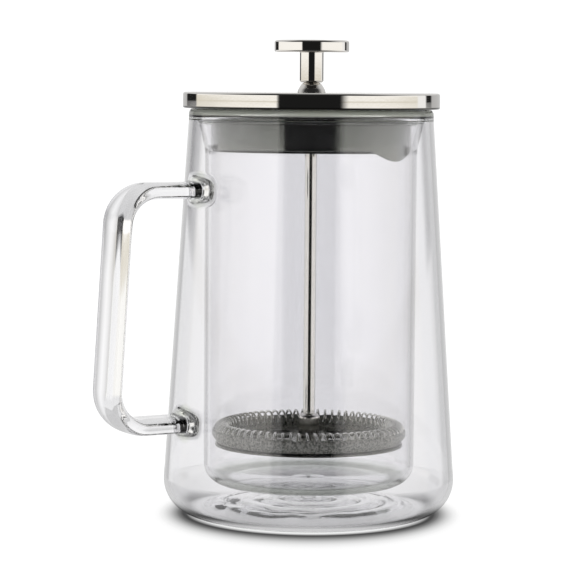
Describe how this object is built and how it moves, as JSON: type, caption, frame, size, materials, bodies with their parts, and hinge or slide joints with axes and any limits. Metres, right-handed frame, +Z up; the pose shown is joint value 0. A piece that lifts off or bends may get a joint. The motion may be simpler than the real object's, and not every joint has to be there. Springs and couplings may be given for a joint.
{
  "type": "french press",
  "caption": "Double-walled glass french press with a glass strap handle, flat steel lid and a pressed-down plunger with a coil-edged mesh filter.",
  "frame": {"origin": "on the table, at the axis of the jug", "axes": "+Z up along the plunger rod; the handle points along -X and the pouring notch along +X"},
  "size_m": [0.1644, 0.1268, 0.2067],
  "materials": {
    "jug_glass": "clear borosilicate, fire-polished",
    "handle_glass": "clear solid borosilicate, fire-polished",
    "silicone": "clear, satin",
    "polished_steel": "mirror-polished stainless steel",
    "satin_steel": "satin stainless steel",
    "skirt_steel": "bright-rolled stainless steel",
    "spring_wire": "bright spring wire",
    "filter_mesh": "fine woven stainless wire",
    "guide_plastic": "natural acetal"
  },
  "bodies": {
    "jug": {"outer_glass": "jug_glass", "inner_glass": "jug_glass", "handle": "handle_glass", "base_seal_tip": "jug_glass"},
    "gasket": {"lid_gasket": "silicone"},
    "lid": {"lid_cap": "polished_steel", "lid_base_plate": "satin_steel", "lid_skirt": "skirt_steel", "lid_spacer": "satin_steel", "lid_washer": "satin_steel", "lid_nut": "satin_steel", "dome_bush": "polished_steel"},
    "guide": {"rod_guide": "guide_plastic"},
    "plunger": {"knob_disc": "polished_steel", "knob_stem": "polished_steel", "knob_stud": "satin_steel", "plunger_rod": "polished_steel", "rod_collar": "polished_steel", "spring_plate": "satin_steel", "coil_ring": "spring_wire", "mesh_cup": "filter_mesh", "cross_plate": "satin_steel", "lock_washer": "satin_steel", "filter_nut": "satin_steel"}
  },
  "joints": [
    {"name": "lid_lift", "type": "slide", "parent": "jug", "child": "gasket", "axis": [0, 0, 1], "range_m": [0, 0.16]},
    {"name": "lid_turn", "type": "hinge", "parent": "gasket", "child": "lid", "pos_m": [0, 0, 0.1775], "axis": [0, 0, 1], "continuous": true},
    {"name": "plunger_turn", "type": "hinge", "parent": "lid", "child": "guide", "pos_m": [0, 0, 0.18], "axis": [0, 0, 1], "continuous": true},
    {"name": "plunger_slide", "type": "slide", "parent": "guide", "child": "plunger", "axis": [0, 0, 1], "range_m": [0, 0.112]}
  ]
}
